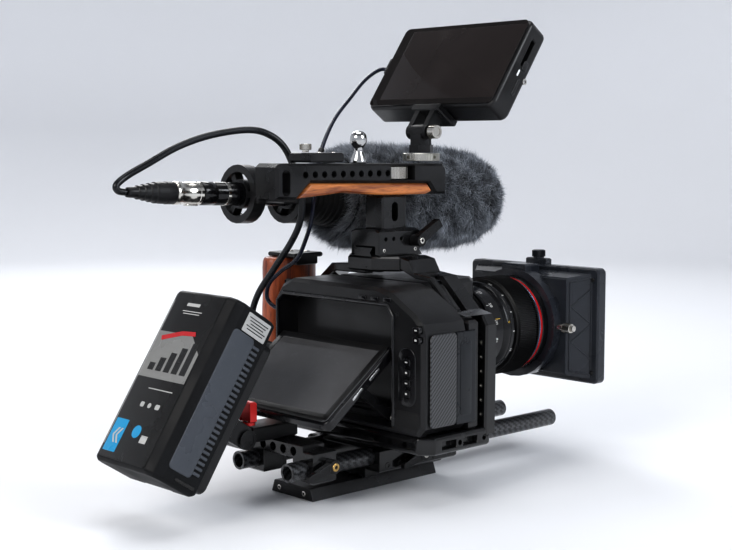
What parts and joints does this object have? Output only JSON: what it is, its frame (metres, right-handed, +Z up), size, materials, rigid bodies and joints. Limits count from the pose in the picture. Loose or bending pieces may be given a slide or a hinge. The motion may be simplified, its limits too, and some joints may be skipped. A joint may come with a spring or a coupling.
{
  "type": "cine camera rig",
  "caption": "Cine camera in a cage with zoom lens, matte box, top handle, tilting monitor, microphone with fur windshield, folding rear screen, side grip and battery on carbon rods.",
  "frame": {"origin": "centre of the bottom face of the sliding tripod plate", "axes": "+Z up, the lens looks along -Y, +X is the operator's left"},
  "size_m": [0.2337, 0.4667, 0.3841],
  "materials": {
    "black_plastic": "fine textured black plastic",
    "black_anodised": "glossy black anodising",
    "satin_alloy": "satin dark grey anodising",
    "bright_metal": "nickel, turned and knurled",
    "red_alloy": "red anodising",
    "carbon": "woven carbon fibre tube, clear coat",
    "rubber": "ribbed black rubber",
    "slate": "slate grey plastic",
    "glass": "coated glass",
    "wood": "oiled orange-brown hardwood",
    "dark_wood": "oiled red-brown hardwood",
    "fur": "dark grey long-pile fur",
    "board": "green circuit board",
    "leather_pad": "carbon-look moulded pad"
  },
  "bodies": {
    "camera": {"tripod_plate": "satin_alloy", "baseplate": "black_anodised", "rear_rod_clamp": "black_anodised", "rod_right": "carbon", "rod_left": "carbon", "cage_bottom_plate": "black_anodised", "cage_right_frame": "black_anodised", "cage_left_frame": "black_anodised", "body_rear_shell": "black_plastic", "body_front_shell": "black_plastic", "sensor_board": "board", "internal_battery": "slate", "grip_pad": "leather_pad", "lens_barrel": "black_plastic", "lens_front_barrel": "black_plastic", "front_glass": "glass", "matte_box": "black_plastic", "nato_clamp": "black_anodised", "handle_frame": "satin_alloy", "handle_wood": "wood", "quick_plate": "satin_alloy", "microphone": "black_plastic", "mic_connector": "bright_metal", "shock_mount": "black_plastic", "windshield": "fur", "side_handle_wood": "dark_wood", "side_handle_bracket": "satin_alloy", "battery_arm": "satin_alloy", "mic_cable": "rubber", "monitor_cable": "rubber"},
    "screen_arm": {"screen_arm": "satin_alloy"},
    "screen": {"screen_housing": "black_plastic", "screen_glass": "glass"},
    "swivel": {"swivel_base": "satin_alloy"},
    "monitor": {"tilt_bracket": "bright_metal", "monitor_case": "black_plastic", "monitor_glass": "glass", "hdmi_plug": "black_plastic"},
    "battery_mount": {"battery_plate": "black_plastic"},
    "battery": {"battery_pack": "black_plastic"},
    "zoom_ring": {"zoom_ring": "rubber"},
    "zoom_group": {"zoom_group": "glass"},
    "focus_ring": {"focus_ring": "rubber"},
    "fan_rotor": {"fan_rotor": "black_plastic"},
    "card_door": {"card_door": "slate"},
    "side_button_1": {"side_button_1": "black_plastic"},
    "side_button_2": {"side_button_2": "black_plastic"},
    "side_button_3": {"side_button_3": "black_plastic"},
    "side_button_4": {"side_button_4": "black_plastic"},
    "thumb_button_upper": {"thumb_button_upper": "black_plastic"},
    "thumb_button_lower": {"thumb_button_lower": "black_plastic"},
    "record_button": {"record_button": "red_alloy"},
    "matte_box_screw": {"matte_box_screw": "bright_metal"},
    "nato_lever": {"nato_lever": "satin_alloy"},
    "handle_wheel": {"handle_wheel": "bright_metal"},
    "quick_plate_screw": {"quick_plate_screw": "bright_metal"},
    "lock_wheel": {"lock_wheel": "bright_metal"},
    "red_wing_lever": {"red_wing_lever": "red_alloy"},
    "rear_clamp_lever": {"rear_clamp_lever": "satin_alloy"},
    "baseplate_lever": {"baseplate_lever": "satin_alloy"}
  },
  "joints": [
    {"name": "screen_arm_hinge", "type": "hinge", "parent": "camera", "child": "screen_arm", "pos_m": [-0.0045, 0.022, 0.0665], "axis": [1, 0, 0], "range_deg": [0, 53.2]},
    {"name": "screen_hinge", "type": "hinge", "parent": "screen_arm", "child": "screen", "pos_m": [-0.0045, 0.05683, 0.09256], "axis": [1, 0, 0], "range_deg": [-106.4, 0]},
    {"name": "zoom_turn", "type": "hinge", "parent": "camera", "child": "zoom_ring", "pos_m": [0, -0.114, 0.116], "axis": [0, 1, 0], "range_deg": [-35, 35]},
    {"name": "zoom_travel", "type": "slide", "parent": "camera", "child": "zoom_group", "axis": [0, 1, 0], "range_m": [-0.0065, 0.0065]},
    {"name": "focus_turn", "type": "hinge", "parent": "camera", "child": "focus_ring", "pos_m": [0, -0.17, 0.116], "axis": [0, 1, 0], "range_deg": [-60, 60]},
    {"name": "fan_turn", "type": "hinge", "parent": "camera", "child": "fan_rotor", "pos_m": [0.012, -0.01, 0.108], "axis": [0, 1, 0], "continuous": true},
    {"name": "card_door_hinge", "type": "hinge", "parent": "camera", "child": "card_door", "pos_m": [-0.1082, -0.0272, 0.0995], "axis": [0, 0, 1], "range_deg": [0, 95]},
    {"name": "side_button_1_press", "type": "slide", "parent": "camera", "child": "side_button_1", "axis": [0, -1, 0], "range_m": [0, 0.0008], "stiffness_N_per_m": 600},
    {"name": "side_button_2_press", "type": "slide", "parent": "camera", "child": "side_button_2", "axis": [0, -1, 0], "range_m": [0, 0.0008], "stiffness_N_per_m": 600},
    {"name": "side_button_3_press", "type": "slide", "parent": "camera", "child": "side_button_3", "axis": [0, -1, 0], "range_m": [0, 0.0008], "stiffness_N_per_m": 600},
    {"name": "side_button_4_press", "type": "slide", "parent": "camera", "child": "side_button_4", "axis": [0, -1, 0], "range_m": [0, 0.0008], "stiffness_N_per_m": 600},
    {"name": "thumb_button_upper_press", "type": "slide", "parent": "camera", "child": "thumb_button_upper", "axis": [0, -1, 0], "range_m": [0, 0.0008], "stiffness_N_per_m": 600},
    {"name": "thumb_button_lower_press", "type": "slide", "parent": "camera", "child": "thumb_button_lower", "axis": [0, -1, 0], "range_m": [0, 0.0008], "stiffness_N_per_m": 600},
    {"name": "record_button_press", "type": "slide", "parent": "camera", "child": "record_button", "axis": [0, 0, -1], "range_m": [0, 0.0009], "stiffness_N_per_m": 600},
    {"name": "matte_box_screw_turn", "type": "hinge", "parent": "camera", "child": "matte_box_screw", "pos_m": [-0.06, -0.201, 0.116], "axis": [1, 0, 0], "range_deg": [-180, 180]},
    {"name": "nato_lever_turn", "type": "hinge", "parent": "camera", "child": "nato_lever", "pos_m": [-0.022, -0.05, 0.2], "axis": [1, 0, 0], "range_deg": [-40, 40]},
    {"name": "handle_wheel_turn", "type": "hinge", "parent": "camera", "child": "handle_wheel", "pos_m": [0, -0.0405, 0.256], "axis": [0, 0, 1], "continuous": true},
    {"name": "quick_plate_screw_turn", "type": "hinge", "parent": "camera", "child": "quick_plate_screw", "pos_m": [0, 0.054, 0.277], "axis": [0, 0, 1], "range_deg": [-180, 180]},
    {"name": "lock_wheel_turn", "type": "hinge", "parent": "camera", "child": "lock_wheel", "pos_m": [0, -0.076, 0.2685], "axis": [0, 0, 1], "range_deg": [-180, 180]},
    {"name": "monitor_pan", "type": "hinge", "parent": "camera", "child": "swivel", "pos_m": [0, -0.076, 0.275], "axis": [0, 0, 1], "range_deg": [-90, 90], "deforming": ["monitor_cable"]},
    {"name": "monitor_tilt", "type": "hinge", "parent": "swivel", "child": "monitor", "pos_m": [0, -0.075, 0.29], "axis": [1, 0, 0], "range_deg": [-35, 20], "deforming": ["monitor_cable"]},
    {"name": "battery_tilt", "type": "hinge", "parent": "camera", "child": "battery_mount", "pos_m": [0.008, 0.116, 0.053], "axis": [1, 0, 0], "range_deg": [-15, 5]},
    {"name": "battery_slide", "type": "slide", "parent": "battery_mount", "child": "battery", "axis": [0, -0.5461, 0.8377], "range_m": [0, 0.03]},
    {"name": "red_wing_lever_turn", "type": "hinge", "parent": "camera", "child": "red_wing_lever", "pos_m": [0.011, 0.105, 0.07], "axis": [0, 0, 1], "range_deg": [-60, 60]},
    {"name": "rear_clamp_lever_turn", "type": "hinge", "parent": "camera", "child": "rear_clamp_lever", "pos_m": [-0.046, 0.068, 0.032], "axis": [1, 0, 0], "range_deg": [-15, 60]},
    {"name": "baseplate_lever_turn", "type": "hinge", "parent": "camera", "child": "baseplate_lever", "pos_m": [-0.048, -0.03, 0.027], "axis": [1, 0, 0], "range_deg": [-20, 20]}
  ],
  "couplings": [
    {"joint": "screen_hinge", "follows": "screen_arm_hinge", "ratio": -2},
    {"joint": "zoom_travel", "follows": "zoom_turn", "m_per_rad": 0.01}
  ]
}
